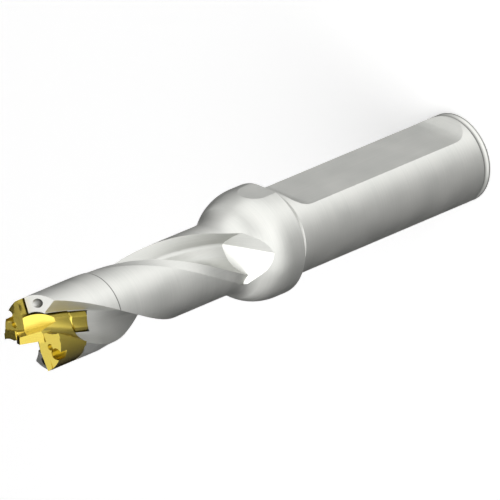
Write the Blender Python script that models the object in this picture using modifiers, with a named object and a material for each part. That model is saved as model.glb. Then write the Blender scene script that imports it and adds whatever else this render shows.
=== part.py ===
"""Exchangeable-head drill, 13.5 mm, three diameters deep, on a 16 mm flatted shank.

Two pieces: a steel drill body and a coated carbide drilling head that turns into
the pocket between the body's two prongs. The drill stands on the rear face of its
shank with the axis on +Z and the point up. The origin is the centre of that rear
face, and +X looks out of the clamping flat. Angles are in degrees about +Z.
"""

from math import asin, atan2, cos, pi, radians, sin, sqrt, tan

import bmesh
import bpy
from mathutils import Matrix, Vector

MM = 0.001
FIT_GAP = 0.3 * MM

# Shank, with its clamping flat, groove near the rear rim, and a relief that is undercut
# both into the shank and into the collar's rear face
SHANK_DIAMETER = 16.0 * MM
SHANK_LENGTH = 49.1 * MM
SHANK_FLAT_TO_AXIS = 6.2 * MM
SHANK_FLAT_LENGTH = 36.6 * MM
SHANK_FLAT_FROM_REAR = 5.9 * MM
SHANK_FLAT_END_RADIUS = 5.3 * MM
RELIEF_DEPTH = 0.35 * MM
RELIEF_WIDTH = 2.2 * MM
FACE_UNDERCUT_DEPTH = 0.15 * MM
FACE_UNDERCUT_WIDTH = 0.3 * MM
RIM_GROOVE_DEPTH = 0.4 * MM
RIM_GROOVE_FROM_REAR = 1.4 * MM
RIM_GROOVE_FRONT_WIDTH = 0.35 * MM
RIM_BAND_WIDTH = 0.95 * MM
RIM_CHAMFER = 0.3 * MM

# Collar: a short cylinder, then a ball-shaped front that sweeps down to the body
COLLAR_DIAMETER = 20.0 * MM
COLLAR_WIDTH = 2.8 * MM
COLLAR_FLAT_TO_AXIS = 9.6 * MM
COLLAR_CHAMFER = 0.25 * MM
NECK_RADIUS = 8.0 * MM

# Fluted body
REACH = 57.3 * MM
HEAD_DIAMETER = 13.2 * MM
BODY_DIAMETER = 13.0 * MM
HEAD_LENGTH = 15.1 * MM
FLUTE_LEAD = 79.0 * MM
FLUTE_RADIUS = 3.8 * MM
WEB_RADIUS = 2.8 * MM
HEEL_ANGLE = -2.5
HEEL_WALL_TAPER = 28.0
HEEL_CORNER_RADIUS = 0.9 * MM
LEAD_BEVEL_ANGLE = 17.0
LEAD_BEVEL_DEPTH = 0.2 * MM
RUNOUT_PAST_COLLAR = 4.0 * MM
RUNOUT_CORNER_ANGLE = 10.7
RAMP_SLOPE = 50.0
RAMP_DIRECTION = 20.4
RAMP_SIDE_SLOPE = 54.7
RAMP_SIDE_DIRECTION = -8.9

# Prongs and pocket of the body
PRONG_SETBACK = 2.3 * MM
PRONG_HEEL_FALL = 16.0
PRONG_OUTWARD_FALL = 9.0
SEAT_WALL_ANGLE = 28.0
SEAT_WALL_TO_AXIS = 0.55 * MM
SEAT_BORE_RADIUS = 3.75 * MM
SEAT_DEPTH = 6.8 * MM
PIN_BORE_RADIUS = 3.6 * MM
PIN_DEPTH = 10.4 * MM
PIN_GROOVE_DEPTH = 0.35 * MM
PIN_GROOVE_WIDTH = 0.7 * MM

# Drilling head
CUTTING_DIAMETER = 13.5 * MM
POINT_HEIGHT = 4.0 * MM
OUTER_EDGE_FALL = 8.0
INNER_EDGE_FALL = 37.0
EDGE_BREAK = 3.4 * MM
CORNER_ANGLE = -67.0
HALF_WEB = 0.92 * MM
HEAD_WEB_RADIUS = 3.05 * MM
PRIMARY_FLANK_WIDTH = 1.7 * MM
PRIMARY_CLEARANCE = 8.0
SECONDARY_FALL = 4.0
SECONDARY_CLEARANCE = 2.0
SECONDARY_STEP = 0.1 * MM
SECONDARY_START = 0.3 * MM
KEY_NOTCH_RADIUS = 1.1 * MM
KEY_NOTCH_FROM_AXIS = 5.8 * MM
KEY_NOTCH_LAG = 39.0
KEY_NOTCH_DEPTH = 1.9 * MM
DIMPLE_RADIUS = 0.6 * MM
DIMPLE_FROM_AXIS = 4.3 * MM
DIMPLE_LAG = 32.0
DIMPLE_DEPTH = 0.6 * MM
MARGIN_WIDTH = 0.9 * MM
MARGIN_HEIGHT = 0.2 * MM
RELIEF_ANGLE = 100.0
GASH_FLOOR_ANGLE = 48.5
GASH_FLOOR_BELOW_CORNER = 1.25 * MM
GASH_FLOOR_DIRECTION = 2.5
GASH_WALL_START = 1.5 * MM
GASH_WALL_DIRECTION = 7.0
GASH_WALL_LEAN = 6.0

# Coolant
COOLANT_INLET_DIAMETER = 5.0 * MM
COOLANT_INLET_MOUTH = 7.0 * MM
COOLANT_INLET_DEPTH = 52.0 * MM
COOLANT_HOLE_DIAMETER = 1.6 * MM
COOLANT_HOLE_FROM_AXIS = 5.2 * MM
COOLANT_HOLE_ANGLE = 20.7
COOLANT_BEND_HEIGHT = 58.0 * MM

# Facets
TURN_STEPS = 72
FLUTE_ARC_STEPS = 14
TWIST_STEP = 1.1 * MM
CHANNEL_STEP = 1.5 * MM

CORNER_Z = SHANK_LENGTH + REACH
TWIST_RATE = 360.0 / FLUTE_LEAD
FLUTE_CENTRE_RADIUS = WEB_RADIUS + FLUTE_RADIUS
CORNER_X = sqrt((CUTTING_DIAMETER / 2) ** 2 - HALF_WEB ** 2)
OVERSIZE = 12.0 * MM


def flute_half_angle(radius, centre_radius):
    """Half the angle that a round flute opens at a given radius."""
    side = radius ** 2 + centre_radius ** 2 - FLUTE_RADIUS ** 2
    cosine = side / (2.0 * radius * centre_radius)
    return atan2(sqrt(1.0 - cosine ** 2), cosine) * 180.0 / pi


BODY_HALF_ANGLE = flute_half_angle(BODY_DIAMETER / 2, FLUTE_CENTRE_RADIUS)
FLUTE_ANGLE = HEEL_ANGLE - BODY_HALF_ANGLE
HEAD_CENTRE_RADIUS = HEAD_WEB_RADIUS + FLUTE_RADIUS
HEAD_FLUTE_ANGLE = CORNER_ANGLE + flute_half_angle(CUTTING_DIAMETER / 2, HEAD_CENTRE_RADIUS)


def twist(height):
    """Angle that the flutes have turned at a height, from none at the cutting corners."""
    return TWIST_RATE * (height - CORNER_Z)


def polar(radius, angle, height=0.0):
    return Vector((radius * cos(radians(angle)), radius * sin(radians(angle)), height))


def turn_about_z(angle):
    return Matrix.Rotation(radians(angle), 4, "Z")


def arc(centre, radius, start, end, steps):
    """Points along an arc in a plane, both ends included."""
    points = []
    for index in range(steps + 1):
        angle = radians(start + (end - start) * index / steps)
        points.append((centre[0] + radius * cos(angle), centre[1] + radius * sin(angle)))
    return points


def clear_scene():
    for item in list(bpy.data.objects):
        bpy.data.objects.remove(item, do_unlink=True)


def new_collection(name):
    collection = bpy.data.collections.new(name)
    bpy.context.scene.collection.children.link(collection)
    return collection


def material(name, colour, metallic, roughness):
    made = bpy.data.materials.new(name)
    made.use_nodes = True
    shader = made.node_tree.nodes["Principled BSDF"]
    shader.inputs["Base Color"].default_value = (*colour, 1.0)
    shader.inputs["Metallic"].default_value = metallic
    shader.inputs["Roughness"].default_value = roughness
    return made


def add_object(name, mesh, collection, matrix=None):
    made = bpy.data.objects.new(name, mesh)
    collection.objects.link(made)
    if matrix is not None:
        mesh.transform(matrix)
    if collection.name == "cutters":
        made.hide_render = True
        made.display_type = "WIRE"
    return made


def closed_mesh(source, name):
    """Read an object's evaluated shape, weld it and close its open ends."""
    evaluated = source.evaluated_get(bpy.context.evaluated_depsgraph_get())
    mesh = bpy.data.meshes.new_from_object(evaluated)
    mesh.name = name
    bpy.data.objects.remove(source, do_unlink=True)
    work = bmesh.new()
    work.from_mesh(mesh)
    bmesh.ops.remove_doubles(work, verts=work.verts, dist=1e-6)
    open_edges = [edge for edge in work.edges if edge.is_boundary]
    if open_edges:
        bmesh.ops.edgeloop_fill(work, edges=open_edges)
    bmesh.ops.recalc_face_normals(work, faces=work.faces)
    work.to_mesh(mesh)
    work.free()
    return mesh


def turned(name, profile, collection, steps=TURN_STEPS):
    """A solid of revolution from (radius, height) points, down its outer side."""
    mesh = bpy.data.meshes.new(name)
    points = [(radius, 0.0, height) for radius, height in profile]
    mesh.from_pydata(points, [(i, i + 1) for i in range(len(points) - 1)], [])
    made = add_object(name, mesh, collection)
    screw = made.modifiers.new("turn", "SCREW")
    screw.steps = steps
    screw.render_steps = steps
    screw.use_smooth_shade = False
    screw.use_merge_vertices = True
    screw.merge_threshold = 0.00001
    return made


def plate(name, outline, bottom, top, collection, matrix=None):
    """A flat outline in XY, raised from one height to another."""
    curve = bpy.data.curves.new(name, "CURVE")
    curve.dimensions = "2D"
    curve.fill_mode = "BOTH"
    curve.extrude = (top - bottom) / 2
    spline = curve.splines.new("POLY")
    spline.points.add(len(outline) - 1)
    for point, (x, y) in zip(spline.points, outline):
        point.co = (x, y, 0.0, 1.0)
    spline.use_cyclic_u = True
    source = bpy.data.objects.new(name, curve)
    bpy.context.scene.collection.objects.link(source)
    mesh = closed_mesh(source, name)
    mesh.transform(Matrix.Translation((0.0, 0.0, (top + bottom) / 2)))
    return add_object(name, mesh, collection, matrix)


def block(name, low, high, collection, matrix):
    """A box between two corners of its own frame, placed by a matrix."""
    mesh = bpy.data.meshes.new(name)
    work = bmesh.new()
    bmesh.ops.create_cube(work, size=1.0)
    size = [top - bottom for bottom, top in zip(low, high)]
    middle = [(top + bottom) / 2 for bottom, top in zip(low, high)]
    bmesh.ops.transform(work, matrix=Matrix.Diagonal((*size, 1.0)), verts=work.verts)
    bmesh.ops.translate(work, vec=middle, verts=work.verts)
    work.to_mesh(mesh)
    work.free()
    return add_object(name, mesh, collection, matrix)


def rod(name, radius, low, high, collection, matrix=None, sides=24):
    """A cylinder between two heights of its own frame."""
    mesh = bpy.data.meshes.new(name)
    work = bmesh.new()
    bmesh.ops.create_cone(
        work, cap_ends=True, segments=sides, radius1=radius, radius2=radius, depth=high - low
    )
    bmesh.ops.translate(work, vec=(0.0, 0.0, (low + high) / 2), verts=work.verts)
    work.to_mesh(mesh)
    work.free()
    return add_object(name, mesh, collection, matrix)


def twisted(name, outline, bottom, top, phase, collection):
    """An outline swept up the axis with the flutes' own right-hand twist."""
    mesh = bpy.data.meshes.new(name)
    points = [(x, y, 0.0) for x, y in outline]
    count = len(points)
    mesh.from_pydata(points, [(i, (i + 1) % count) for i in range(count)], [])
    source = bpy.data.objects.new(name, mesh)
    bpy.context.scene.collection.objects.link(source)
    screw = source.modifiers.new("twist", "SCREW")
    screw.angle = radians(twist(top) - twist(bottom))
    screw.screw_offset = top - bottom
    screw.steps = max(2, round((top - bottom) / TWIST_STEP))
    screw.render_steps = screw.steps
    screw.use_smooth_shade = False
    swept = closed_mesh(source, name)
    start = Matrix.Translation((0.0, 0.0, bottom)) @ turn_about_z(phase + twist(bottom))
    return add_object(name, swept, collection, start)


def tube(name, path, diameter, collection):
    """A round channel along a path."""
    curve = bpy.data.curves.new(name, "CURVE")
    curve.dimensions = "3D"
    curve.bevel_depth = diameter / 2
    curve.bevel_resolution = 3
    curve.use_fill_caps = True
    spline = curve.splines.new("POLY")
    spline.points.add(len(path) - 1)
    for point, place in zip(spline.points, path):
        point.co = (*place, 1.0)
    source = bpy.data.objects.new(name, curve)
    bpy.context.scene.collection.objects.link(source)
    return add_object(name, closed_mesh(source, name), collection)


def boolean(target, tool, operation="DIFFERENCE"):
    modifier = target.modifiers.new(tool.name, "BOOLEAN")
    modifier.operation = operation
    modifier.solver = "EXACT"
    modifier.object = tool


def frame_on_plane(point, normal, along):
    """Axes on a plane: X along a direction in it, Z out of it, origin at a point."""
    z_axis = normal.normalized()
    x_axis = (along - z_axis * along.dot(z_axis)).normalized()
    y_axis = z_axis.cross(x_axis)
    axes = Matrix((x_axis, y_axis, z_axis)).transposed().to_4x4()
    return Matrix.Translation(point) @ axes


def body_profile():
    """Outer side of the steel body, from the prong tops down to the rear face."""
    head = HEAD_DIAMETER / 2
    body = BODY_DIAMETER / 2
    collar = COLLAR_DIAMETER / 2
    shank = SHANK_DIAMETER / 2
    ball_z = SHANK_LENGTH + COLLAR_WIDTH
    neck_z = ball_z + sqrt((collar + NECK_RADIUS) ** 2 - (body + NECK_RADIUS) ** 2)
    step_z = CORNER_Z - HEAD_LENGTH
    meet = atan2(neck_z - ball_z, body + NECK_RADIUS) * 180.0 / pi
    top = CORNER_Z - PRONG_SETBACK / 2
    relief = shank - RELIEF_DEPTH
    groove = shank - RIM_GROOVE_DEPTH
    groove_z = RIM_GROOVE_FROM_REAR

    profile = [(0.0, top), (head, top), (head, step_z), (body, step_z - (head - body))]
    profile += arc((body + NECK_RADIUS, neck_z), NECK_RADIUS, 180.0, 180.0 + meet, 6)
    profile += arc((0.0, ball_z), collar, meet, 0.0, 9)[1:]
    profile += [
        (collar, SHANK_LENGTH + COLLAR_CHAMFER),
        (collar - COLLAR_CHAMFER, SHANK_LENGTH),
        (shank + FACE_UNDERCUT_WIDTH, SHANK_LENGTH),
        (shank, SHANK_LENGTH + FACE_UNDERCUT_DEPTH),
        (relief, SHANK_LENGTH + FACE_UNDERCUT_DEPTH),
        (relief, SHANK_LENGTH - RELIEF_WIDTH + RELIEF_DEPTH),
        (shank, SHANK_LENGTH - RELIEF_WIDTH),
        (shank, groove_z + RIM_GROOVE_FRONT_WIDTH),
        (groove, groove_z),
        (shank, groove_z - RIM_BAND_WIDTH),
        (shank, RIM_CHAMFER),
        (shank - RIM_CHAMFER, 0.0),
        (0.0, 0.0),
    ]
    return profile


def round_flute_outline():
    """Section of a flute of the drilling head about +X: a round floor, open outwards."""
    floor = arc((HEAD_CENTRE_RADIUS, 0.0), FLUTE_RADIUS, 270.0, 90.0, FLUTE_ARC_STEPS)
    return floor + [(OVERSIZE, FLUTE_RADIUS), (OVERSIZE, -FLUTE_RADIUS)]


def flute_outline():
    """Section of a flute of the body about +X: a bevelled leading side and a steep heel."""
    edge = BODY_DIAMETER / 2 - LEAD_BEVEL_DEPTH
    edge_angle = flute_half_angle(edge, FLUTE_CENTRE_RADIUS)
    bevel_end = polar(edge, -edge_angle)
    bevel_start = polar(BODY_DIAMETER / 2, -edge_angle - LEAD_BEVEL_ANGLE)
    beyond = bevel_start + (bevel_start - bevel_end) * 0.2
    below = atan2(bevel_end.y, bevel_end.x - FLUTE_CENTRE_RADIUS) * 180.0 / pi + 360.0
    lead = arc((FLUTE_CENTRE_RADIUS, 0.0), FLUTE_RADIUS, below, 180.0, FLUTE_ARC_STEPS // 2)

    heel = polar(BODY_DIAMETER / 2, BODY_HALF_ANGLE)
    lean = radians(HEEL_WALL_TAPER)
    radius = HEEL_CORNER_RADIUS
    centre_x = WEB_RADIUS + radius
    centre_y = heel.y + (centre_x - heel.x) * tan(lean) - radius / cos(lean)
    corner = arc((centre_x, centre_y), radius, 180.0, 90.0 + HEEL_WALL_TAPER, 4)
    wall = []
    for x in (heel.x - radius / 2, heel.x + radius, OVERSIZE):
        wall.append((x, heel.y + (x - heel.x) * tan(lean)))
    return lead + corner + wall + [(OVERSIZE, beyond.y * 0.6), (beyond.x, beyond.y)]


def ramp_stop(name, side, slope, direction, collection):
    """The material under one flat of a flute's run-out, taken off the end of its cutter."""
    ball_z = SHANK_LENGTH + COLLAR_WIDTH
    end_z = ball_z + RUNOUT_PAST_COLLAR
    end_radius = sqrt((COLLAR_DIAMETER / 2) ** 2 - (end_z - ball_z) ** 2)
    centre = FLUTE_ANGLE + twist(end_z) + side
    out = polar(1.0, centre + direction)
    normal = out * cos(radians(slope)) + Vector((0.0, 0.0, sin(radians(slope))))
    along = out.cross(Vector((0.0, 0.0, 1.0)))
    corner = polar(end_radius, centre + RUNOUT_CORNER_ANGLE, end_z)
    reach = 3 * OVERSIZE
    place = frame_on_plane(corner, normal, along)
    return block(name, (-reach, -reach, -reach), (reach, reach, 0.0), collection, place)


def relief_outline():
    """Section of the relief behind the head's margin, about its cutting corner."""
    cut = CUTTING_DIAMETER / 2
    start = -MARGIN_WIDTH / cut * 180.0 / pi
    inner = arc((0.0, 0.0), cut - MARGIN_HEIGHT, start, start - RELIEF_ANGLE, 12)
    outer = arc((0.0, 0.0), OVERSIZE, start - RELIEF_ANGLE, start, 4)
    return inner + outer


def seat_outline(bore, wall):
    """Round core with two wings, each stopped by a flat wall across its trailing side."""
    wall_angle = asin(wall / bore) * 180.0 / pi
    half = [(OVERSIZE, wall)] + arc((0.0, 0.0), bore, wall_angle, -90.0, 12)
    half += [(0.0, -OVERSIZE), (-OVERSIZE, -OVERSIZE)]
    return half + [(-x, -y) for x, y in half]


def prong_top(name, side, collection):
    """Tilted cut that leaves a prong's front face falling outwards and towards its heel."""
    angle = COOLANT_HOLE_ANGLE + twist(CORNER_Z - PRONG_SETBACK) + side
    out = polar(1.0, angle)
    lead = polar(1.0, angle + 90.0)
    normal = Vector((0.0, 0.0, 1.0)) - lead * tan(radians(PRONG_HEEL_FALL))
    normal += out * tan(radians(PRONG_OUTWARD_FALL))
    middle = out * COOLANT_HOLE_FROM_AXIS + Vector((0.0, 0.0, CORNER_Z - PRONG_SETBACK))
    place = frame_on_plane(middle, normal, out)
    low = (COOLANT_HOLE_DIAMETER / 2 - COOLANT_HOLE_FROM_AXIS, -OVERSIZE, 0.0)
    return block(name, low, (OVERSIZE, OVERSIZE, OVERSIZE), collection, place)


def coolant_path(side):
    """Down a land with the twist, then in to meet the inlet on the axis."""
    path = []
    top = CORNER_Z + OVERSIZE / 4
    steps = round((top - COOLANT_BEND_HEIGHT) / CHANNEL_STEP)
    for index in range(steps + 1):
        height = top - (top - COOLANT_BEND_HEIGHT) * index / steps
        angle = COOLANT_HOLE_ANGLE + twist(height) + side
        path.append(polar(COOLANT_HOLE_FROM_AXIS, angle, height))
    end = Vector((0.0, 0.0, COOLANT_INLET_DEPTH - COOLANT_INLET_DIAMETER / 2))
    bend = path[-1]
    path.append(bend.lerp(end, 0.5))
    path.append(bend.lerp(end, 0.9))
    return path


def inlet_profile():
    bore = COOLANT_INLET_DIAMETER / 2
    mouth = COOLANT_INLET_MOUTH / 2
    return [
        (0.0, COOLANT_INLET_DEPTH + bore / 2),
        (bore, COOLANT_INLET_DEPTH),
        (bore, mouth - bore),
        (mouth, 0.0),
        (mouth, -OVERSIZE / 4),
        (0.0, -OVERSIZE / 4),
    ]


def shank_flat_outline():
    """Side view of the flat's cutter: a long slot with round ends."""
    radius = SHANK_FLAT_END_RADIUS
    rear = SHANK_FLAT_FROM_REAR
    front = rear + SHANK_FLAT_LENGTH
    centre_x = SHANK_FLAT_TO_AXIS + radius
    outline = arc((centre_x, rear), radius, 270.0, 180.0, 8)
    return outline + arc((centre_x, front), radius, 180.0, 90.0, 8)


def make_body(parts, cutters):
    body = turned("drill_body", body_profile(), parts)

    seat_z = CORNER_Z - SEAT_DEPTH
    pocket = plate(
        "pocket",
        seat_outline(SEAT_BORE_RADIUS, SEAT_WALL_TO_AXIS),
        seat_z,
        CORNER_Z + OVERSIZE,
        cutters,
        turn_about_z(SEAT_WALL_ANGLE),
    )
    boolean(body, pocket)
    bore_z = CORNER_Z - PIN_DEPTH - FIT_GAP
    pin_bore = rod("pin_bore", PIN_BORE_RADIUS, bore_z, seat_z + FIT_GAP, cutters, sides=48)
    boolean(body, pin_bore)

    flute_bottom = SHANK_LENGTH + COLLAR_WIDTH / 2
    for index, side in enumerate((0.0, 180.0), start=1):
        phase = FLUTE_ANGLE + side
        flute = twisted(
            f"flute_{index}", flute_outline(), flute_bottom, CORNER_Z + OVERSIZE, phase, cutters
        )
        boolean(flute, ramp_stop(f"ramp_{index}", side, RAMP_SLOPE, RAMP_DIRECTION, cutters))
        boolean(
            flute,
            ramp_stop(f"ramp_side_{index}", side, RAMP_SIDE_SLOPE, RAMP_SIDE_DIRECTION, cutters),
        )
        boolean(body, flute)
        boolean(body, prong_top(f"prong_top_{index}", side, cutters))

    standing = Matrix.Rotation(pi / 2, 4, "X")
    flat = plate(
        "shank_flat", shank_flat_outline(), -SHANK_DIAMETER, SHANK_DIAMETER, cutters, standing
    )
    boolean(body, flat)
    collar_flat = block(
        "collar_flat",
        (COLLAR_FLAT_TO_AXIS, -OVERSIZE, SHANK_LENGTH - RELIEF_WIDTH / 4),
        (COLLAR_FLAT_TO_AXIS + OVERSIZE, OVERSIZE, SHANK_LENGTH + OVERSIZE),
        cutters,
        Matrix.Identity(4),
    )
    boolean(body, collar_flat)

    boolean(body, turned("coolant_inlet", inlet_profile(), cutters, steps=24))
    for index, side in enumerate((0.0, 180.0), start=1):
        channel = tube(f"coolant_{index}", coolant_path(side), COOLANT_HOLE_DIAMETER, cutters)
        boolean(body, channel)
    return body


def head_profile():
    """Blank of the drilling head: cutting cylinder, seat face, groove and pin."""
    cut = CUTTING_DIAMETER / 2
    pin = PIN_BORE_RADIUS - FIT_GAP
    seat_z = CORNER_Z - SEAT_DEPTH + FIT_GAP
    return [
        (0.0, CORNER_Z + POINT_HEIGHT),
        (cut, CORNER_Z + POINT_HEIGHT),
        (cut, seat_z),
        (pin - PIN_GROOVE_DEPTH, seat_z),
        (pin - PIN_GROOVE_DEPTH, seat_z - PIN_GROOVE_WIDTH + PIN_GROOVE_DEPTH),
        (pin, seat_z - PIN_GROOVE_WIDTH),
        (pin, CORNER_Z - PIN_DEPTH),
        (0.0, CORNER_Z - PIN_DEPTH),
    ]


def wing_frame(side):
    """Axes of a wing: X out along its cutting edge's direction, Y the way it cuts."""
    lag = asin(HALF_WEB / (CUTTING_DIAMETER / 2)) * 180.0 / pi
    return turn_about_z(CORNER_ANGLE - lag + side)


def edge_height(x):
    """Height of a cutting edge above its corner: a flat outer part and a steep centre."""
    outer = (CORNER_X - max(x, EDGE_BREAK)) * tan(radians(OUTER_EDGE_FALL))
    return outer + max(0.0, EDGE_BREAK - x) * tan(radians(INNER_EDGE_FALL))


def flank(name, side, fall, clearance, point, low_x, high, cutters):
    """Everything above a ground plane through a point of a wing's flank."""
    slope = radians(fall)
    normal = Vector((tan(slope), -tan(radians(clearance)), 1.0))
    along = Vector((cos(slope), 0.0, -sin(slope)))
    place = wing_frame(side) @ frame_on_plane(Vector(point), normal, along)
    low = ((low_x - point[0]) / cos(slope), -2 * OVERSIZE, 0.0)
    top = ((high[0] - point[0]) / cos(slope), high[1] - point[1], OVERSIZE)
    return block(name, low, top, cutters, place)


def wing_flanks(index, side, cutters):
    """The ground planes of one wing: outer and inner primary flank, then the secondary."""
    ahead = OVERSIZE + HALF_WEB
    back_y = HALF_WEB - PRIMARY_FLANK_WIDTH
    drop = PRIMARY_FLANK_WIDTH * tan(radians(PRIMARY_CLEARANCE)) + SECONDARY_STEP
    outer = flank(
        f"outer_primary_{index}",
        side,
        OUTER_EDGE_FALL,
        PRIMARY_CLEARANCE,
        (CORNER_X, HALF_WEB, CORNER_Z),
        EDGE_BREAK,
        (OVERSIZE, ahead),
        cutters,
    )
    inner = flank(
        f"inner_primary_{index}",
        side,
        INNER_EDGE_FALL,
        PRIMARY_CLEARANCE,
        (EDGE_BREAK, HALF_WEB, CORNER_Z + edge_height(EDGE_BREAK)),
        -EDGE_BREAK / 4,
        (EDGE_BREAK, ahead),
        cutters,
    )
    secondary = flank(
        f"secondary_{index}",
        side,
        SECONDARY_FALL,
        SECONDARY_CLEARANCE,
        (CORNER_X, back_y, CORNER_Z - drop),
        SECONDARY_START,
        (OVERSIZE, back_y),
        cutters,
    )
    return [outer, inner, secondary]


def gash(name, side, cutters):
    """Web thinning: a floor that falls into the flute, and a wall under the cutting edge."""
    up = Vector((0.0, 0.0, 1.0))
    wing = wing_frame(side)
    slope = radians(GASH_FLOOR_ANGLE)
    lean = radians(GASH_WALL_LEAN)
    reach = 2 * OVERSIZE

    out = wing @ polar(1.0, GASH_FLOOR_DIRECTION)
    point = up * (CORNER_Z - GASH_FLOOR_BELOW_CORNER)
    place = frame_on_plane(point, out * cos(slope) + up * sin(slope), out.cross(up))
    made = block(name, (-reach, -reach, 0.0), (reach, reach, reach), cutters, place)

    away = wing @ polar(1.0, GASH_WALL_DIRECTION + 90.0)
    edge_z = CORNER_Z + edge_height(GASH_WALL_START)
    point = wing @ Vector((GASH_WALL_START, HALF_WEB, edge_z))
    place = frame_on_plane(point, away * cos(lean) + up * sin(lean), away.cross(up))
    low = (-2 * reach, -2 * reach, -2 * reach)
    boolean(made, block(f"{name}_wall", low, (2 * reach, 2 * reach, 0.0), cutters, place))
    return made


def make_head(parts, cutters):
    head = turned("drilling_head", head_profile(), parts)

    keep = plate(
        "wing_plan",
        seat_outline(SEAT_BORE_RADIUS - FIT_GAP, SEAT_WALL_TO_AXIS + FIT_GAP),
        SHANK_LENGTH,
        CORNER_Z + OVERSIZE,
        cutters,
        turn_about_z(SEAT_WALL_ANGLE),
    )
    boolean(head, keep, "INTERSECT")

    low = CORNER_Z - PIN_DEPTH - OVERSIZE / 4
    high = CORNER_Z + OVERSIZE
    for index, side in enumerate((0.0, 180.0), start=1):
        cuts = [
            twisted(
                f"head_flute_{index}",
                round_flute_outline(),
                low,
                high,
                HEAD_FLUTE_ANGLE + side,
                cutters,
            ),
            twisted(
                f"relief_{index}", relief_outline(), low, high, CORNER_ANGLE + side, cutters
            ),
            *wing_flanks(index, side, cutters),
            gash(f"gash_{index}", side, cutters),
        ]
        for label, radius, from_axis, lag, depth in (
            ("key_notch", KEY_NOTCH_RADIUS, KEY_NOTCH_FROM_AXIS, KEY_NOTCH_LAG, KEY_NOTCH_DEPTH),
            ("dimple", DIMPLE_RADIUS, DIMPLE_FROM_AXIS, DIMPLE_LAG, DIMPLE_DEPTH),
        ):
            centre = polar(from_axis, CORNER_ANGLE + side - lag)
            place = Matrix.Translation(centre)
            cuts.append(rod(f"{label}_{index}", radius, CORNER_Z - depth, high, cutters, place))
        for cut in cuts:
            boolean(head, cut)
    return head


def finish(part, surface):
    part.data.materials.append(surface)


def main():
    clear_scene()
    parts = new_collection("exchangeable_head_drill")
    cutters = new_collection("cutters")
    steel = material("ground_tool_steel", (0.56, 0.56, 0.54), 1.0, 0.32)
    coating = material("nitride_coated_carbide", (0.66, 0.48, 0.16), 1.0, 0.28)
    finish(make_body(parts, cutters), steel)
    finish(make_head(parts, cutters), coating)


main()
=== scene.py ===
from math import atan2, cos, pi, radians, sin, sqrt, tan
from operator import attrgetter

import bmesh
import bpy
import numpy as np
from mathutils import Matrix, Vector


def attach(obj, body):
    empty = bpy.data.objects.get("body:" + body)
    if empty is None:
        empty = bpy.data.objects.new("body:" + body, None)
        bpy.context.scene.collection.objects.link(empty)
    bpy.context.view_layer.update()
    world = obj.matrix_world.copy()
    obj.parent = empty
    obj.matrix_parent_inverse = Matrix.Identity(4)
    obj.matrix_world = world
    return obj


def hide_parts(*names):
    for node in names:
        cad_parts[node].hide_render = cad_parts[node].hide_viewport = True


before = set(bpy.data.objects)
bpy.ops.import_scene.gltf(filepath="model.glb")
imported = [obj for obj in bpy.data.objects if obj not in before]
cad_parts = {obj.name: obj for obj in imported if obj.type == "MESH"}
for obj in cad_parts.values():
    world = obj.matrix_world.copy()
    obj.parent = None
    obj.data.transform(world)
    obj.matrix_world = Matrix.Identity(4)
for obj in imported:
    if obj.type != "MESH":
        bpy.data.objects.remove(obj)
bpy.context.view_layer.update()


# Drill body: one bar of tool steel. The shank, collar and ball front are turned and
# ground, then the flutes, the pocket for the head and the two flats are milled. The
# sizes here are the construction's own, in metres, with the drill standing on +Z.

MM = 0.001
SHANK_RADIUS = 8.0 * MM
SHANK_LENGTH = 49.1 * MM
RELIEF_DEPTH = 0.35 * MM
RELIEF_WIDTH = 2.2 * MM
FACE_UNDERCUT_DEPTH = 0.15 * MM
FACE_UNDERCUT_WIDTH = 0.3 * MM
RIM_GROOVE_DEPTH = 0.4 * MM
RIM_GROOVE_FROM_REAR = 1.4 * MM
RIM_GROOVE_FRONT_WIDTH = 0.35 * MM
RIM_BAND_WIDTH = 0.95 * MM
RIM_CHAMFER = 0.3 * MM
COLLAR_RADIUS = 10.0 * MM
COLLAR_WIDTH = 2.8 * MM
COLLAR_CHAMFER = 0.25 * MM
NECK_RADIUS = 8.0 * MM
REACH = 57.3 * MM
HEAD_LENGTH = 15.1 * MM
CORNER_Z = SHANK_LENGTH + REACH
STEP_Z = CORNER_Z - HEAD_LENGTH
HEAD_END_RADIUS = 6.6 * MM
BODY_RADIUS = 6.5 * MM
FLUTE_LEAD = 79.0 * MM
FLUTE_RADIUS = 3.8 * MM
WEB_RADIUS = 2.8 * MM
HEEL_ANGLE = -2.5
HEEL_WALL_TAPER = 28.0
HEEL_CORNER_RADIUS = 0.9 * MM
LEAD_BEVEL_ANGLE = 17.0
LEAD_BEVEL_DEPTH = 0.2 * MM
LEAD_BEVEL_OVERRUN = 0.2
OPEN_SIDE_SLOPE = 0.6
HEEL_WALL_REACH = 6.0 * MM
SEAT_BORE_RADIUS = 3.75 * MM
PIN_BORE_RADIUS = 3.6 * MM
COOLANT_HOLE_RADIUS = 0.8 * MM
COOLANT_HOLE_FROM_AXIS = 5.2 * MM
COOLANT_HOLE_ANGLE = 20.7
COOLANT_MOUTH_CUTS = 3
TWIST_RATE = 2.0 * pi / FLUTE_LEAD
FLUTE_CENTRE = WEB_RADIUS + FLUTE_RADIUS


def across(radius, angle):
    """A point in the drill's cross-section, from a radius and an angle in degrees."""
    return np.array([radius * cos(radians(angle)), radius * sin(radians(angle))])


def turned_line(start, end):
    """A cylinder, cone or face: the line from start down to end, in (radius, height)."""
    start = np.array(start)
    run = np.array(end) - start
    length = np.linalg.norm(run)
    side = np.array([-run[1], run[0]]) / length

    def surface(points):
        radius = np.hypot(points[:, 0], points[:, 1])
        place = np.stack([radius, points[:, 2]], 1) - start
        along = np.clip(place @ run / length**2, 0.0, 1.0)
        away = np.linalg.norm(place - along[:, None] * run, axis=1)
        outward = points[:, :2] / np.maximum(radius, 1e-9)[:, None]
        height = np.full(len(points), side[1])
        return away, np.column_stack([outward * side[0], height])

    return surface


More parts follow.
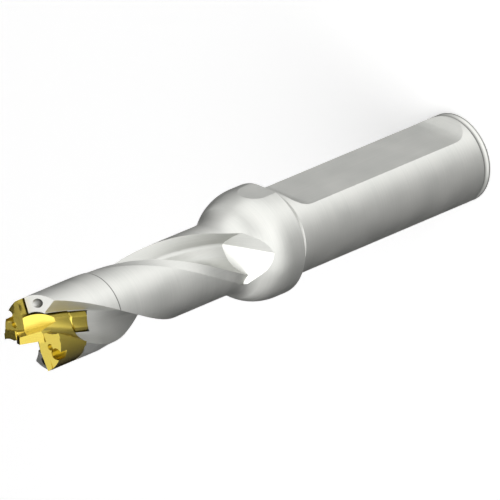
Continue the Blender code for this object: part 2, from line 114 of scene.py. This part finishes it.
def turned_arc(centre, arc_radius, hollow):
    """A ball or a hollow fillet: an arc about a centre in (radius, height)."""

    def surface(points):
        radius = np.hypot(points[:, 0], points[:, 1])
        place = np.stack([radius, points[:, 2]], 1) - np.array(centre)
        reach = np.linalg.norm(place, axis=1)
        slope = place / np.maximum(reach, 1e-9)[:, None]
        if hollow:
            slope = -slope
        outward = points[:, :2] / np.maximum(radius, 1e-9)[:, None]
        normals = np.column_stack([outward * slope[:, :1], slope[:, 1]])
        return np.abs(reach - arc_radius), normals

    return surface


def twisted(phase, section):
    """A flute wall: a line or arc of the cross-section carried up the drill's twist."""

    def surface(points):
        angle = radians(phase) + TWIST_RATE * (points[:, 2] - CORNER_Z)
        cosine, sine = np.cos(angle), np.sin(angle)
        x = points[:, 0] * cosine + points[:, 1] * sine
        y = points[:, 1] * cosine - points[:, 0] * sine
        away, normal_x, normal_y = section(x, y)
        climb = -TWIST_RATE * (normal_y * x - normal_x * y)
        normals = np.column_stack(
            [normal_x * cosine - normal_y * sine, normal_x * sine + normal_y * cosine, climb]
        )
        return away, normals / np.linalg.norm(normals, axis=1)[:, None]

    return surface


def hollow_arc(centre, arc_radius):
    """A round part of the cross-section, facing the centre of its arc."""

    def section(x, y):
        reach = np.maximum(np.hypot(x - centre[0], y - centre[1]), 1e-9)
        return np.abs(reach - arc_radius), (centre[0] - x) / reach, (centre[1] - y) / reach

    return section


def straight(start, end, open_side):
    """A line of the cross-section, facing the side that a point of the flute lies on."""
    run = (end - start) / np.linalg.norm(end - start)
    normal = np.array([-run[1], run[0]])
    if normal @ (open_side - start) < 0.0:
        normal = -normal

    def section(x, y):
        along = (x - start[0]) * run[0] + (y - start[1]) * run[1]
        beyond = np.maximum(-along, along - np.linalg.norm(end - start)).clip(0.0)
        away = np.abs((x - start[0]) * normal[0] + (y - start[1]) * normal[1])
        same = np.ones(len(x))
        return away + beyond, same * normal[0], same * normal[1]

    return section


def bored(centre, radius):
    """The wall of a round hole along the drill, facing its own axis."""

    def surface(points):
        x, y = centre[0] - points[:, 0], centre[1] - points[:, 1]
        reach = np.maximum(np.hypot(x, y), 1e-9)
        return np.abs(reach - radius), np.column_stack([x / reach, y / reach, 0.0 * x])

    return surface


def flute_half_angle(radius, centre_radius):
    """Half the angle that a flute opens at a radius of the drill, in degrees."""
    side = radius**2 + centre_radius**2 - FLUTE_RADIUS**2
    cosine = side / (2.0 * radius * centre_radius)
    return atan2(sqrt(1.0 - cosine**2), cosine) * 180.0 / pi


def body_turned():
    """Every turned surface of the body, from its front down to the rear face."""
    ball_z = SHANK_LENGTH + COLLAR_WIDTH
    neck_x = BODY_RADIUS + NECK_RADIUS
    neck_z = ball_z + sqrt((COLLAR_RADIUS + NECK_RADIUS) ** 2 - neck_x**2)
    step = HEAD_END_RADIUS - BODY_RADIUS
    relief = SHANK_RADIUS - RELIEF_DEPTH
    front = [
        (HEAD_END_RADIUS, CORNER_Z),
        (HEAD_END_RADIUS, STEP_Z),
        (BODY_RADIUS, STEP_Z - step),
        (BODY_RADIUS, neck_z),
    ]
    rear = [
        (COLLAR_RADIUS, ball_z),
        (COLLAR_RADIUS, SHANK_LENGTH + COLLAR_CHAMFER),
        (COLLAR_RADIUS - COLLAR_CHAMFER, SHANK_LENGTH),
        (SHANK_RADIUS + FACE_UNDERCUT_WIDTH, SHANK_LENGTH),
        (SHANK_RADIUS, SHANK_LENGTH + FACE_UNDERCUT_DEPTH),
        (relief, SHANK_LENGTH + FACE_UNDERCUT_DEPTH),
        (relief, SHANK_LENGTH - RELIEF_WIDTH + RELIEF_DEPTH),
        (SHANK_RADIUS, SHANK_LENGTH - RELIEF_WIDTH),
        (SHANK_RADIUS, RIM_GROOVE_FROM_REAR + RIM_GROOVE_FRONT_WIDTH),
        (SHANK_RADIUS - RIM_GROOVE_DEPTH, RIM_GROOVE_FROM_REAR),
        (SHANK_RADIUS, RIM_GROOVE_FROM_REAR - RIM_BAND_WIDTH),
        (SHANK_RADIUS, RIM_CHAMFER),
        (SHANK_RADIUS - RIM_CHAMFER, 0.0),
        (0.0, 0.0),
    ]
    lines = [turned_line(*pair) for run in (front, rear) for pair in zip(run, run[1:])]
    ball = turned_arc((0.0, ball_z), COLLAR_RADIUS, hollow=False)
    neck = turned_arc((neck_x, neck_z), NECK_RADIUS, hollow=True)
    return lines + [ball, neck]


def body_flutes():
    """The walls of both flutes: floor, heel corner, heel wall, bevel and its way out."""
    half_angle = flute_half_angle(BODY_RADIUS, FLUTE_CENTRE)
    inside = np.array([FLUTE_CENTRE, 0.0])
    edge = BODY_RADIUS - LEAD_BEVEL_DEPTH
    edge_angle = flute_half_angle(edge, FLUTE_CENTRE)
    bevel_end = across(edge, -edge_angle)
    bevel_start = across(BODY_RADIUS, -edge_angle - LEAD_BEVEL_ANGLE)
    beyond = bevel_start + (bevel_start - bevel_end) * LEAD_BEVEL_OVERRUN
    outside = np.array([2.0 * BODY_RADIUS, OPEN_SIDE_SLOPE * beyond[1]])
    heel = across(BODY_RADIUS, half_angle)
    lean = radians(HEEL_WALL_TAPER)
    corner_x = WEB_RADIUS + HEEL_CORNER_RADIUS
    corner_y = heel[1] + (corner_x - heel[0]) * tan(lean) - HEEL_CORNER_RADIUS / cos(lean)
    wall_run = np.array([1.0, tan(lean)]) * HEEL_WALL_REACH
    sections = [
        hollow_arc(inside, FLUTE_RADIUS),
        hollow_arc((corner_x, corner_y), HEEL_CORNER_RADIUS),
        straight(heel - wall_run, heel + wall_run, inside),
        straight(bevel_end, beyond, inside),
        straight(beyond, outside, inside),
    ]
    phase = HEEL_ANGLE - half_angle
    return [twisted(phase + side, part) for side in (0.0, 180.0) for part in sections]


def coolant_hole(x, y):
    """A coolant hole climbs with the twist, so the cross-section cuts it to an oval."""
    squeeze = 1.0 / (1.0 + (TWIST_RATE * COOLANT_HOLE_FROM_AXIS) ** 2)
    out = x - COOLANT_HOLE_FROM_AXIS
    reach = np.maximum(np.sqrt(out**2 + y**2 * squeeze), 1e-9)
    return np.abs(reach - COOLANT_HOLE_RADIUS), -out / reach, -y * squeeze / reach


coolant_walls = [
    twisted(COOLANT_HOLE_ANGLE + side, coolant_hole) for side in (0.0, 180.0)
]


def round_coolant_mouths(work):
    """Cut the ten-sided mouths of the coolant holes finer, and push them out to round."""
    near = 0.03 * MM
    upward = attrgetter("z")
    wall_upward, prong_upward = 0.5, 0.8  # the bore's wall faces up less, the prong's face more
    work.normal_update()
    for wall_of_hole in coolant_walls:
        away, _ = wall_of_hole(np.array([vertex.co for vertex in work.verts]))
        on_wall = {vertex for vertex, gap in zip(work.verts, away) if gap < near}
        rim = []
        for edge in work.edges:
            if not on_wall.issuperset(edge.verts):
                continue
            facings = sorted((face.normal.copy() for face in edge.link_faces), key=upward)
            if facings[0].z < wall_upward and facings[-1].z > prong_upward:
                rim.append(edge)
                prong_face = facings[-1]
        cut = bmesh.ops.subdivide_edges(work, edges=rim, cuts=COOLANT_MOUTH_CUTS)
        for vertex in cut["geom_inner"]:
            if isinstance(vertex, bmesh.types.BMVert):
                away, facing = wall_of_hole(np.array([vertex.co]))
                push = Vector(-facing[0] * away[0])
                push.z = -(prong_face.x * push.x + prong_face.y * push.y) / prong_face.z
                vertex.co += push


def faired(node, name, families, finer=None):
    """A piece in the exact form of a CAD node, shaded by the true curved surfaces.

    Each face that lies on a surface of one of the families takes that surface's own
    normals at its corners and its family's place in the list of materials. A face
    that lies on none is a flat one, and only rounds over to neighbours of its kind.
    The upright ones and the ones that face the point have the last two places. Where
    the piece needs a finer mesh somewhere, the function `finer` makes it so first.
    """
    same_place = 0.001 * MM
    no_length = 0.0005 * MM
    near = 0.06 * MM  # how far a face's corners may lie off its surface
    agree = cos(radians(16.0))  # and how far the face may lean from it
    soften = cos(radians(24.0))  # flat faces that lean less round over to each other
    facing_point = cos(radians(60.0))

    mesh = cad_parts[node].data.copy()
    mesh.name = name
    work = bmesh.new()
    work.from_mesh(mesh)
    bmesh.ops.remove_doubles(work, verts=work.verts, dist=same_place)
    bmesh.ops.dissolve_degenerate(work, edges=work.edges, dist=no_length)
    if finer:
        finer(work)
    bmesh.ops.triangulate(work, faces=work.faces)
    work.to_mesh(mesh)
    work.free()
    mesh.materials.clear()

    points = np.array([vertex.co for vertex in mesh.vertices])
    faces = np.array([polygon.vertices[:] for polygon in mesh.polygons])
    flat = np.array([polygon.normal for polygon in mesh.polygons])
    area = np.array([polygon.area for polygon in mesh.polygons])
    best = np.full(len(faces), agree)
    family_of = np.full(len(faces), len(families))
    normals = np.repeat(flat[:, None, :], 3, axis=1)
    for index, surfaces in enumerate(families):
        for surface in surfaces:
            away, true = surface(points)
            lies = away[faces].max(axis=1) < near
            corners = true[faces]
            match = (corners.mean(axis=1) * flat).sum(axis=1)
            better = lies & (match > best)
            best[better] = match[better]
            family_of[better] = index
            normals[better] = corners[better]

    loose = family_of == len(families)
    family_of[loose & (flat[:, 2] > facing_point)] = len(families) + 1
    around = {}
    for face in np.flatnonzero(loose):
        for vertex in faces[face]:
            around.setdefault(vertex, []).append(face)
    for vertex, members in around.items():
        members = np.array(members)
        for face in members:
            like = members[flat[members] @ flat[face] > soften]
            mean = (flat[like] * area[like, None]).sum(axis=0)
            corner = list(faces[face]).index(vertex)
            normals[face, corner] = mean / max(np.linalg.norm(mean), 1e-12)

    mesh.polygons.foreach_set("use_smooth", [True] * len(faces))
    mesh.polygons.foreach_set("material_index", family_of.astype(np.int32))
    mesh.normals_split_custom_set([tuple(corner) for face in normals for corner in face])
    piece = bpy.data.objects.new(name, mesh)
    bpy.context.scene.collection.objects.link(piece)
    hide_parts(node)
    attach(piece, "root")
    return piece


pocket_bores = [bored((0.0, 0.0), radius) for radius in (SEAT_BORE_RADIUS, PIN_BORE_RADIUS)]
body = faired(
    "drill_body",
    "ground_drill_body",
    [body_turned(), body_flutes(), pocket_bores + coolant_walls],
    round_coolant_mouths,
)


def linear(hex_colour):
    """An sRGB hex colour as the linear values that a shader takes."""
    channels = [int(hex_colour[i : i + 2], 16) / 255.0 for i in (1, 3, 5)]
    low = [value / 12.92 for value in channels]
    high = [((value + 0.055) / 1.055) ** 2.4 for value in channels]
    mixed = [b if value > 0.04045 else a for value, a, b in zip(channels, low, high)]
    return (*mixed, 1.0)


def add_node(tree, kind, inputs=None, **settings):
    """One shader node, with its settings, and its inputs as values or as links."""
    node = tree.nodes.new("ShaderNode" + kind)
    for name, value in settings.items():
        setattr(node, name, value)
    for socket, source in (inputs or {}).items():
        if isinstance(source, bpy.types.NodeSocket):
            tree.links.new(source, node.inputs[socket])
        else:
            node.inputs[socket].default_value = source
    return node


def new_material(name):
    """A material with its tree and its Principled BSDF."""
    made = bpy.data.materials.new(name)
    made.use_nodes = True
    return made, made.node_tree, made.node_tree.nodes["Principled BSDF"]


def lay_of_grinding(tree, lay, line_width, line_length):
    """Noise drawn out along the way that the wheel or the cutter went over the steel."""
    place = add_node(tree, "TexCoord").outputs["Object"]
    across_lines, along_lines = 1.0 / line_width, 1.0 / line_length
    if lay == "helix":
        height = add_node(tree, "SeparateXYZ", {0: place}).outputs["Z"]
        turn = add_node(tree, "Math", {0: height, 1: -TWIST_RATE}, operation="MULTIPLY")
        place = add_node(
            tree,
            "VectorRotate",
            {"Vector": place, "Angle": turn.outputs[0]},
            rotation_type="Z_AXIS",
        ).outputs[0]
    scale = {
        "rings": (along_lines, along_lines, across_lines),
        "helix": (across_lines, across_lines, along_lines),
        "lengthwise": (across_lines, across_lines, along_lines),
        "crosswise": (across_lines, along_lines, along_lines),
    }[lay]
    stretched = add_node(tree, "Mapping", {"Vector": place, "Scale": scale})
    noise = add_node(
        tree, "TexNoise", {"Vector": stretched.outputs[0], "Scale": 1.0, "Detail": 3.0}
    )
    return noise.outputs["Fac"]


def near_height(tree, height, fade):
    """One at a height on the drill, and down to none at the given distance from it."""
    place = add_node(tree, "TexCoord").outputs["Object"]
    z = add_node(tree, "SeparateXYZ", {0: place}).outputs["Z"]
    off = add_node(tree, "Math", {0: z, 1: height}, operation="SUBTRACT").outputs[0]
    away = add_node(tree, "Math", {0: off}, operation="ABSOLUTE").outputs[0]
    return add_node(
        tree, "MapRange", {"Value": away, "From Max": fade, "To Min": 1.0, "To Max": 0.0}
    ).outputs[0]


STEEL_COLOURS = ("#BFC0BC", "#C9C9C5")
# Painted shade: the colour that the shade lines round the drill darken the steel to.
PAINTED_SHADE_COLOUR = "#2C2C2B"
WHEEL_LINE_WIDTH = 0.16 * MM
WHEEL_LINE_LENGTH = 9.0 * MM
WHEEL_LINE_DEPTH = 0.004 * MM
POLISH_CLOUD = 6.0 * MM
POLISH_RANGE = (0.7, 1.3)
POLISH_ROUGHNESS = 0.04


def ground_steel(name, lay, roughness, painted_shade_marks=()):
    """Tool steel, milled and ground: a soft grey sheen with a fine lay of wheel marks.

    Real wheel marks are about 0.02 mm apart. They are drawn 0.16 mm wide so that
    they show, and broad cloudy patches stand for the uneven depth of the polish.
    Dark lines of painted shade stand for the shadow at the foot of the rim groove,
    at the rim band's edge and just below the head's step: each is a height on the drill
    and how far it fades out to either side.
    """
    made, tree, shader = new_material(name)
    lines = lay_of_grinding(tree, lay, WHEEL_LINE_WIDTH, WHEEL_LINE_LENGTH)
    place = add_node(tree, "TexCoord").outputs["Object"]
    clouds = add_node(
        tree, "TexNoise", {"Vector": place, "Scale": 1.0 / POLISH_CLOUD, "Detail": 2.0}
    ).outputs["Fac"]
    both = add_node(tree, "Math", {0: lines, 1: clouds}, operation="ADD").outputs[0]
    polish = {"Value": both, "From Min": POLISH_RANGE[0], "From Max": POLISH_RANGE[1]}
    tone = add_node(tree, "MapRange", polish).outputs[0]
    colour = add_node(
        tree,
        "Mix",
        {"Factor": tone, 6: linear(STEEL_COLOURS[0]), 7: linear(STEEL_COLOURS[1])},
        data_type="RGBA",
    ).outputs[2]
    # Painted shade: near each given height the steel darkens towards the shade colour.
    for height, fade in painted_shade_marks:
        colour = add_node(
            tree,
            "Mix",
            {"Factor": near_height(tree, height, fade), 6: colour, 7: linear(PAINTED_SHADE_COLOUR)},
            data_type="RGBA",
        ).outputs[2]
    smooth, rough = roughness - POLISH_ROUGHNESS, roughness + POLISH_ROUGHNESS
    gloss = add_node(tree, "MapRange", {**polish, "To Min": smooth, "To Max": rough})
    relief = add_node(
        tree, "Bump", {"Height": lines, "Strength": 0.25, "Distance": WHEEL_LINE_DEPTH}
    )
    tree.links.new(colour, shader.inputs["Base Color"])
    tree.links.new(gloss.outputs[0], shader.inputs["Roughness"])
    tree.links.new(relief.outputs[0], shader.inputs["Normal"])
    shader.inputs["Metallic"].default_value = 1.0
    return made


# How far each painted shade line fades out to either side of its height.
GROOVE_SHADE = 0.52 * MM
BAND_EDGE_SHADE = 0.12 * MM
STEP_SHADE = 0.17 * MM
STEP_SHADE_BELOW = 0.2 * MM

# Painted shade lines, as height and fade: the shadow at the foot of the rim groove, at the rim
# band's edge and just below the head's step.
painted_shade_lines = (
    (RIM_GROOVE_FROM_REAR, GROOVE_SHADE),
    (RIM_GROOVE_FROM_REAR - RIM_BAND_WIDTH, BAND_EDGE_SHADE),
    (STEP_Z - STEP_SHADE_BELOW, STEP_SHADE),
)
for steel in (
    ground_steel("turned_and_ground_steel", "rings", roughness=0.42, painted_shade_marks=painted_shade_lines),
    ground_steel("fluted_steel", "helix", roughness=0.50),
    ground_steel("bored_steel", "rings", roughness=0.50),
    ground_steel("milled_steel", "lengthwise", roughness=0.44),
    ground_steel("face_ground_steel", "crosswise", roughness=0.44),
):
    body.data.materials.append(steel)


# Drilling head: solid carbide, ground all over, with a gold nitride coating a few
# thousandths of a millimetre thick. Its pin is pushed into the bore of the body and
# the head is turned until its two wings come up against the walls of the prongs.

CUTTING_RADIUS = 6.75 * MM
MARGIN_HEIGHT = 0.2 * MM
CORNER_ANGLE = -67.0
HEAD_WEB_RADIUS = 3.05 * MM
HEAD_FLUTE_CENTRE = HEAD_WEB_RADIUS + FLUTE_RADIUS
POINT_CLEARANCE = 5.0 * MM
FIT_GAP = 0.3 * MM
SEAT_DEPTH = 6.8 * MM
PIN_DEPTH = 10.4 * MM
PIN_GROOVE_DEPTH = 0.35 * MM
PIN_GROOVE_WIDTH = 0.7 * MM
KEY_NOTCH_RADIUS = 1.1 * MM
KEY_NOTCH_FROM_AXIS = 5.8 * MM
KEY_NOTCH_LAG = 39.0
DIMPLE_RADIUS = 0.6 * MM
DIMPLE_FROM_AXIS = 4.3 * MM
DIMPLE_LAG = 32.0


def head_turned():
    """The round surfaces of the head: cutting diameter, relieved land, core and pin."""
    pin = PIN_BORE_RADIUS - FIT_GAP
    groove = pin - PIN_GROOVE_DEPTH
    core = SEAT_BORE_RADIUS - FIT_GAP
    seat_z = CORNER_Z - SEAT_DEPTH + FIT_GAP
    top_z = CORNER_Z + POINT_CLEARANCE
    land = CUTTING_RADIUS - MARGIN_HEIGHT
    runs = [
        [(CUTTING_RADIUS, top_z), (CUTTING_RADIUS, seat_z)],
        [(land, top_z), (land, seat_z)],
        [(core, top_z), (core, seat_z)],
        [
            (groove, seat_z),
            (groove, seat_z - PIN_GROOVE_WIDTH + PIN_GROOVE_DEPTH),
            (pin, seat_z - PIN_GROOVE_WIDTH),
            (pin, CORNER_Z - PIN_DEPTH),
            (0.0, CORNER_Z - PIN_DEPTH),
        ],
    ]
    return [turned_line(*pair) for run in runs for pair in zip(run, run[1:])]


def head_flutes_and_hollows():
    """On both sides of the head: its stretch of the flute, the key notch and the dimple."""
    phase = CORNER_ANGLE + flute_half_angle(CUTTING_RADIUS, HEAD_FLUTE_CENTRE)
    floor_of_flute = hollow_arc((HEAD_FLUTE_CENTRE, 0.0), FLUTE_RADIUS)
    found = []
    for side in (0.0, 180.0):
        found.append(twisted(phase + side, floor_of_flute))
        for from_axis, lag, radius in (
            (KEY_NOTCH_FROM_AXIS, KEY_NOTCH_LAG, KEY_NOTCH_RADIUS),
            (DIMPLE_FROM_AXIS, DIMPLE_LAG, DIMPLE_RADIUS),
        ):
            found.append(bored(across(from_axis, CORNER_ANGLE - lag + side), radius))
    return found


head = faired(
    "drilling_head", "coated_drilling_head", [head_turned(), head_flutes_and_hollows()]
)

COATING_COLOURS = ("#B3A54C", "#B8A24A")
COATED_LINE_WIDTH = 0.10 * MM
COATED_LINE_LENGTH = 4.0 * MM
COATED_LINE_RANGE = (0.3, 0.7)
COATING_ROUGHNESS = (0.19, 0.27)
COATING_PATCH = 1.6 * MM


def nitride_coating(name, lay):
    """Gold nitride on ground carbide: a warm metal that keeps the wheel's fine lines.

    The coating's thickness varies a little, so the gold shifts between a greener and
    a redder tone in patches of a millimetre or two. The wheel's lines, too fine to
    show as they are, are drawn 0.1 mm wide.
    """
    made, tree, shader = new_material(name)
    lines = lay_of_grinding(tree, lay, COATED_LINE_WIDTH, COATED_LINE_LENGTH)
    place = add_node(tree, "TexCoord").outputs["Object"]
    patches = add_node(
        tree, "TexNoise", {"Vector": place, "Scale": 1.0 / COATING_PATCH, "Detail": 2.0}
    ).outputs["Fac"]
    colour = add_node(
        tree,
        "Mix",
        {"Factor": patches, 6: linear(COATING_COLOURS[0]), 7: linear(COATING_COLOURS[1])},
        data_type="RGBA",
    )
    gloss = add_node(
        tree,
        "MapRange",
        {
            "Value": lines,
            "From Min": COATED_LINE_RANGE[0],
            "From Max": COATED_LINE_RANGE[1],
            "To Min": COATING_ROUGHNESS[0],
            "To Max": COATING_ROUGHNESS[1],
        },
    )
    relief = add_node(
        tree, "Bump", {"Height": lines, "Strength": 0.2, "Distance": WHEEL_LINE_DEPTH}
    )
    tree.links.new(colour.outputs[2], shader.inputs["Base Color"])
    tree.links.new(gloss.outputs[0], shader.inputs["Roughness"])
    tree.links.new(relief.outputs[0], shader.inputs["Normal"])
    shader.inputs["Metallic"].default_value = 1.0
    return made


for coating in (
    nitride_coating("coated_round_carbide", "rings"),
    nitride_coating("coated_fluted_carbide", "helix"),
    nitride_coating("coated_ground_carbide", "lengthwise"),
    nitride_coating("coated_flank_carbide", "crosswise"),
):
    head.data.materials.append(coating)


# Camera: the drill is seen from its point side, 48 degrees off the axis, through a
# very long lens, and rolled so that the shank runs up to the right of the picture.

VIEW_OFF_AXIS = 48.0
VIEW_AZIMUTH = -56.0
AXIS_RISE = 22.9
LENS_MM = 1200.0
SENSOR_MM = 36.0
CLIP_END = 20.0
PICTURE_WIDTH = 85.6 * MM
AIM_HEIGHT = 53.0 * MM
AIM_ASIDE = 0.92 * MM

up = Vector((0.0, 0.0, 1.0))
toward = Vector((cos(radians(VIEW_AZIMUTH)), sin(radians(VIEW_AZIMUTH)), 0.0))
aside = Vector((toward.y, -toward.x, 0.0))
back = up * cos(radians(VIEW_OFF_AXIS)) + toward * sin(radians(VIEW_OFF_AXIS))
along_axis = (back * cos(radians(VIEW_OFF_AXIS)) - up).normalized()
rise = radians(AXIS_RISE)
picture_right = along_axis * cos(rise) + aside * sin(rise)
picture_up = along_axis * sin(rise) - aside * cos(rise)
aim = up * AIM_HEIGHT + aside * AIM_ASIDE

camera = bpy.data.objects.new("camera", bpy.data.cameras.new("camera"))
bpy.context.scene.collection.objects.link(camera)
camera.data.lens = LENS_MM
camera.data.sensor_width = SENSOR_MM
camera.data.clip_end = CLIP_END
stand = Matrix((picture_right, picture_up, back)).transposed().to_4x4()
stand.translation = aim + back * (PICTURE_WIDTH * LENS_MM / SENSOR_MM)
camera.matrix_world = stand
bpy.context.scene.camera = camera


# Floor and room: a white studio floor under the shank and a white room round it. The
# camera and every reflection see the same white, and the floor keeps the shadow.

FLOOR_RADIUS = 1.6
FLOOR_SIDES = 64
GLOW_FROM, GLOW_TO = 0.3, 1.2
GLOW_NEAR, GLOW_FAR = 0.38, 0.68
ROOM_LIGHT = 0.30


def seen_directly(tree):
    """One for camera, glossy and transmission rays, and none for the rest."""
    path = add_node(tree, "LightPath")
    seen = path.outputs["Is Camera Ray"]
    for ray in ("Is Glossy Ray", "Is Transmission Ray"):
        either = add_node(tree, "Math", {0: seen, 1: path.outputs[ray]}, operation="MAXIMUM")
        seen = either.outputs[0]
    return seen


def white_paper():
    """Matt white paper, with some light of its own where the camera looks at it.

    Near the drill that just brings the paper up to white, so that the shadow stays.
    Further out, where the lamps reach less, it is stronger.
    """
    made, tree, shader = new_material("white_paper")
    tree.nodes.remove(shader)
    paper = add_node(tree, "BsdfDiffuse", {"Color": linear("#F4F4F4")})
    place = add_node(tree, "TexCoord").outputs["Object"]
    away = add_node(tree, "VectorMath", {0: place}, operation="LENGTH").outputs["Value"]
    strength = add_node(
        tree,
        "MapRange",
        {
            "Value": away,
            "From Min": GLOW_FROM,
            "From Max": GLOW_TO,
            "To Min": GLOW_NEAR,
            "To Max": GLOW_FAR,
        },
    )
    glow = add_node(
        tree, "Emission", {"Color": linear("#FFFFFF"), "Strength": strength.outputs[0]}
    )
    bright = add_node(tree, "AddShader", {0: paper.outputs[0], 1: glow.outputs[0]})
    mixed = add_node(
        tree, "MixShader", {0: seen_directly(tree), 1: paper.outputs[0], 2: bright.outputs[0]}
    )
    tree.links.new(mixed.outputs[0], tree.nodes["Material Output"].inputs["Surface"])
    return made


floor_mesh = bpy.data.meshes.new("floor")
disc = bmesh.new()
bmesh.ops.create_circle(disc, cap_ends=True, segments=FLOOR_SIDES, radius=FLOOR_RADIUS)
disc.to_mesh(floor_mesh)
disc.free()
floor = bpy.data.objects.new("floor", floor_mesh)
bpy.context.scene.collection.objects.link(floor)
floor.data.materials.append(white_paper())
floor.visible_glossy = False

room = bpy.data.worlds.new("white_room")
bpy.context.scene.world = room
room.use_nodes = True
background = room.node_tree.nodes["Background"]
strength = add_node(
    room.node_tree,
    "MapRange",
    {"Value": seen_directly(room.node_tree), "To Min": ROOM_LIGHT, "To Max": 1.0},
)
background.inputs["Color"].default_value = linear("#FFFFFF")
room.node_tree.links.new(strength.outputs[0], background.inputs["Strength"])


# Lamps and cards: soft lamps high in front, overhead and high behind. Cards that only
# reflections see give the ground steel its long shades, as in a studio photograph of a
# bright tool: a graded one far below, three lit ones round the front, a dark one behind.

LAMP_DISTANCE = 0.7
CARD_DISTANCE = 0.4
GRADED_CARD_DEPTH = 0.3
GRADED_CARD_RADIUS = 2.0
GRADED_CARD_PEAK = 1.85
GRADED_CARD_STEP = 5


def heading(azimuth, elevation=0.0):
    """A direction, its azimuth counted to the left from the camera's side of the drill."""
    level = toward * cos(radians(azimuth)) + aside * sin(radians(azimuth))
    return level * cos(radians(elevation)) + up * sin(radians(elevation))


def soft_lamp(name, direction, width, watts):
    """A round lamp in a direction from the drill, turned to shine on it."""
    lamp = bpy.data.lights.new(name, "AREA")
    lamp.shape = "DISK"
    lamp.size = width
    lamp.energy = watts
    holder = bpy.data.objects.new(name, lamp)
    bpy.context.scene.collection.objects.link(holder)
    holder.location = aim + direction * LAMP_DISTANCE
    holder.rotation_mode = "QUATERNION"
    holder.rotation_quaternion = direction.to_track_quat("Z", "Y")


def card(name, corners, brightness):
    """A flat card with its own light, which reflections see and nothing else does."""
    made, tree, shader = new_material(name)
    tree.nodes.remove(shader)
    glow = add_node(tree, "Emission", {"Strength": brightness})
    tree.links.new(glow.outputs[0], tree.nodes["Material Output"].inputs["Surface"])
    mesh = bpy.data.meshes.new(name)
    mesh.from_pydata(corners, [], [range(len(corners))])
    mesh.materials.append(made)
    piece = bpy.data.objects.new(name, mesh)
    bpy.context.scene.collection.objects.link(piece)
    for ray in ("camera", "diffuse", "shadow", "transmission", "volume_scatter"):
        setattr(piece, "visible_" + ray, False)
    return tree, glow


def wall(start, end, low, high):
    """The corners of an upright card, between two azimuths and two elevations."""
    left, right = (heading(angle) * CARD_DISTANCE for angle in (start, end))
    foot, top = (up * CARD_DISTANCE * tan(radians(angle)) for angle in (low, high))
    return [left + foot, right + foot, right + top, left + top]


def bearing(azimuth):
    """Where an azimuth comes on a radial gradient, which runs from behind to behind."""
    return 0.5 - azimuth / 360.0


def graded_card():
    """A round card below the floor, bright on the right, a third of that in front, dark behind."""
    rim = [heading(angle) * GRADED_CARD_RADIUS for angle in range(0, 360, GRADED_CARD_STEP)]
    corners = [point - up * GRADED_CARD_DEPTH for point in rim]
    tree, glow = card("graded_card", corners, GRADED_CARD_PEAK)
    place = add_node(tree, "TexCoord").outputs["Object"]
    turned = add_node(
        tree,
        "VectorRotate",
        {"Vector": place, "Angle": -radians(VIEW_AZIMUTH)},
        rotation_type="Z_AXIS",
    )
    around = add_node(tree, "TexGradient", {"Vector": turned.outputs[0]}, gradient_type="RADIAL")
    ramp = add_node(tree, "ValToRGB", {"Fac": around.outputs["Fac"]})
    stops = ramp.color_ramp.elements
    while len(stops) > 1:
        stops.remove(stops[-1])
    stops[0].position, stops[0].color = bearing(150.0), linear("#000000")
    shades = ((85.0, "#727272"), (20.0, "#A2A2A2"), (-35.0, "#FFFFFF"), (-150.0, "#202020"))
    for azimuth, shade in shades:
        stops.new(bearing(azimuth)).color = linear(shade)
    tree.links.new(ramp.outputs["Color"], glow.inputs["Color"])


graded_card()
card("right_card", wall(start=-85.0, end=-20.0, low=-12.0, high=25.0), brightness=1.85)
card("front_card", wall(start=-20.0, end=25.0, low=-6.0, high=20.0), brightness=2.2)
card("left_card", wall(start=25.0, end=70.0, low=-6.0, high=20.0), brightness=1.9)
card("dark_card", wall(start=150.0, end=215.0, low=-8.0, high=40.0), brightness=0.0)
soft_lamp("front_lamp", heading(azimuth=24.0, elevation=50.0), width=0.7, watts=2.4)
soft_lamp("top_lamp", heading(azimuth=-10.0, elevation=80.0), width=0.5, watts=0.7)
soft_lamp("rear_lamp", heading(azimuth=160.0, elevation=50.0), width=0.5, watts=0.4)


# Output: plain view settings.

bpy.context.scene.view_settings.view_transform = "Standard"
